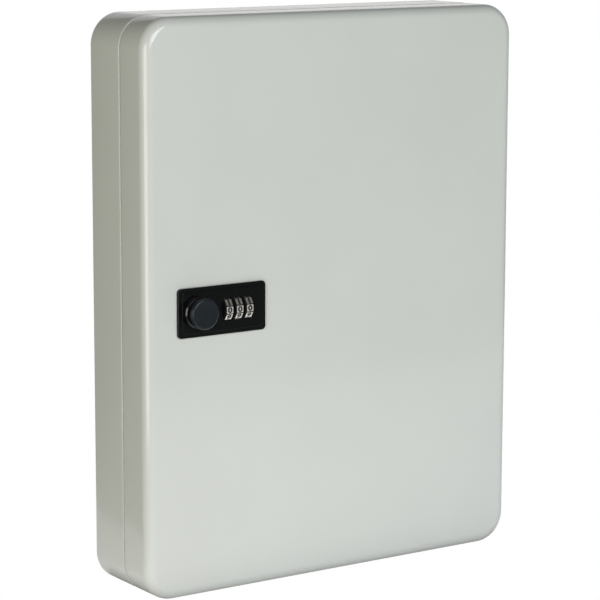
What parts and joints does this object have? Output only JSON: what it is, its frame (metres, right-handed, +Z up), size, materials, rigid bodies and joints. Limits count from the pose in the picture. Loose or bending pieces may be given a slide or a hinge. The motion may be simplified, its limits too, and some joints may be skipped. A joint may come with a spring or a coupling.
{
  "type": "key cabinet",
  "caption": "Shallow steel key cabinet: rounded clamshell body and door, hinged on the right, with a combination cam lock, and hook bars inside.",
  "frame": {"origin": "centre of the four wall-fixing holes, on the back face", "axes": "+Z up along the height, +Y out of the back towards the wall, front faces -Y, +X to the right seen from the front"},
  "size_m": [0.2828, 0.076, 0.36],
  "materials": {
    "body_paint": "semi-gloss powder coat",
    "door_paint": "semi-gloss powder coat",
    "rail_steel": "zinc plated",
    "bar_paint": "semi-gloss powder coat",
    "hook_wire": "bright zinc plated",
    "label_plastic": "satin",
    "screw_zinc": "bright zinc plated",
    "bumper_rubber": "matt",
    "hinge_paint": "semi-gloss powder coat",
    "pin_steel": "turned",
    "holder_plastic": "gloss",
    "card_paper": "matt",
    "lock_black": "gloss",
    "case_black": "fine texture",
    "collar_black": "gloss",
    "knob_black": "satin",
    "frame_steel": "zinc plated",
    "spring_steel": "bright",
    "spindle_zinc": "die cast",
    "dial_nickel": "nickel plated",
    "sleeve_brass": "turned",
    "button_red": "gloss"
  },
  "bodies": {
    "cabinet": {"body_shell": "body_paint", "rail_left": "rail_steel", "rail_right": "rail_steel", "hook_bar_1": "bar_paint", "hook_bar_2": "bar_paint", "hook_bar_3": "bar_paint", "hook_bar_4": "bar_paint", "hook_bar_5": "bar_paint", "hook_bar_6": "bar_paint", "hooks_1": "hook_wire", "hooks_2": "hook_wire", "hooks_3": "hook_wire", "hooks_4": "hook_wire", "hooks_5": "hook_wire", "hooks_6": "hook_wire", "label_strip_1": "label_plastic", "label_strip_2": "label_plastic", "label_strip_3": "label_plastic", "label_strip_4": "label_plastic", "label_strip_5": "label_plastic", "label_strip_6": "label_plastic", "bar_screws": "screw_zinc", "bumpers": "bumper_rubber", "hinge_upper_body_leaf": "hinge_paint", "hinge_lower_body_leaf": "hinge_paint", "hinge_upper_pin": "pin_steel", "hinge_lower_pin": "pin_steel", "body_rivets": "screw_zinc"},
    "door": {"door_shell": "door_paint", "hinge_upper_door_leaf": "hinge_paint", "hinge_lower_door_leaf": "hinge_paint", "door_rivets": "screw_zinc", "card_holder": "holder_plastic", "index_card": "card_paper", "lock_face": "lock_black", "knob_collar": "collar_black", "lock_case": "case_black", "lock_screws": "screw_zinc", "dial_frame": "frame_steel", "dial_axle": "pin_steel", "detent_spring": "spring_steel", "reset_spring": "spring_steel"},
    "lock_knob": {"knob": "knob_black", "knob_spindle": "spindle_zinc", "cam_spacer": "screw_zinc", "cam": "frame_steel", "cam_washer": "screw_zinc", "cam_nut": "screw_zinc"},
    "fence_bar": {"locking_bar": "frame_steel"},
    "dial_1": {"dial_wheel_1": "dial_nickel", "code_sleeve_1": "sleeve_brass"},
    "dial_2": {"dial_wheel_2": "dial_nickel", "code_sleeve_2": "sleeve_brass"},
    "dial_3": {"dial_wheel_3": "dial_nickel", "code_sleeve_3": "sleeve_brass"},
    "reset": {"reset_button": "button_red"}
  },
  "joints": [
    {"name": "door_hinge", "type": "hinge", "parent": "cabinet", "child": "door", "pos_m": [0.1406, -0.036, 0], "axis": [0, 0, 1], "range_deg": [0, 170]},
    {"name": "knob_turn", "type": "hinge", "parent": "door", "child": "lock_knob", "pos_m": [-0.1036, -0.065, 0], "axis": [0, -1, 0], "range_deg": [0, 90]},
    {"name": "locking_bar_slide", "type": "slide", "parent": "door", "child": "fence_bar", "axis": [1, 0, 0], "range_m": [0, 0.0013]},
    {"name": "dial_1_spin", "type": "hinge", "parent": "door", "child": "dial_1", "pos_m": [-0.0831, -0.0632, 0], "axis": [1, 0, 0], "continuous": true},
    {"name": "dial_2_spin", "type": "hinge", "parent": "door", "child": "dial_2", "pos_m": [-0.07575, -0.0632, 0], "axis": [1, 0, 0], "continuous": true},
    {"name": "dial_3_spin", "type": "hinge", "parent": "door", "child": "dial_3", "pos_m": [-0.0684, -0.0632, 0], "axis": [1, 0, 0], "continuous": true},
    {"name": "reset_press", "type": "slide", "parent": "door", "child": "reset", "axis": [0, -1, 0], "range_m": [0, 0.002], "stiffness_N_per_m": 300, "springref_m": -0.002, "deforming": ["reset_spring"]}
  ],
  "couplings": [
    {"joint": "locking_bar_slide", "follows": "knob_turn", "m_per_rad": 0.000821}
  ]
}
